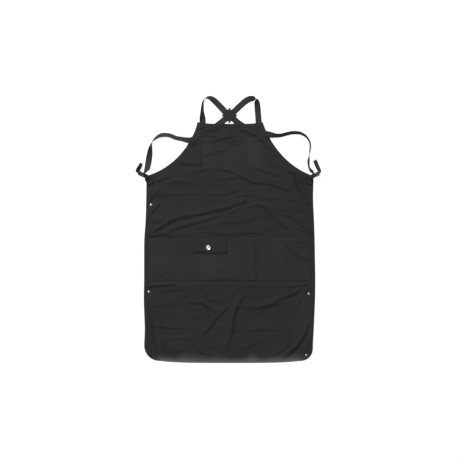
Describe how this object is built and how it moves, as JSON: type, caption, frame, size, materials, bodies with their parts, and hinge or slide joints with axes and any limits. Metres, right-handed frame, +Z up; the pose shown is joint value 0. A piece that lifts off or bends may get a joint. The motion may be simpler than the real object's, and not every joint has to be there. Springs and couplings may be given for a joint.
{
  "type": "workshop apron",
  "caption": "Black canvas bib apron with waist and chest pockets, a buttoned flap and crossed webbing straps with a back clip and waist sliders, lying flat.",
  "frame": {"origin": "centre of the whole apron's box, on the surface that it lies on", "axes": "+Z up off the surface, out of the apron's front; +Y from the bottom hem to the bib; +X to the right across the front"},
  "size_m": [0.6989, 1.014, 0.0276],
  "materials": {
    "canvas": "matte cotton canvas",
    "webbing": "woven webbing",
    "clip_plastic": "fine matte",
    "slider_plastic": "moulded gloss",
    "button_metal": "bright nickel",
    "snap_metal": "dark nickel"
  },
  "bodies": {
    "root": {"apron_body": "canvas", "waist_pocket": "canvas", "patch_pocket": "canvas", "pocket_flap": "canvas", "chest_pocket": "canvas", "pen_pocket_left": "canvas", "pen_pocket_right": "canvas", "left_strap": "webbing", "right_strap": "webbing", "left_tab": "webbing", "right_tab": "webbing", "cross_clip": "clip_plastic", "left_slider": "slider_plastic", "right_slider": "slider_plastic", "flap_button": "button_metal", "snap_left_upper": "snap_metal", "snap_left_lower": "snap_metal", "snap_left_hem": "snap_metal", "snap_right_upper": "snap_metal", "snap_right_lower": "snap_metal", "snap_right_hem": "snap_metal"}
  },
  "joints": []
}
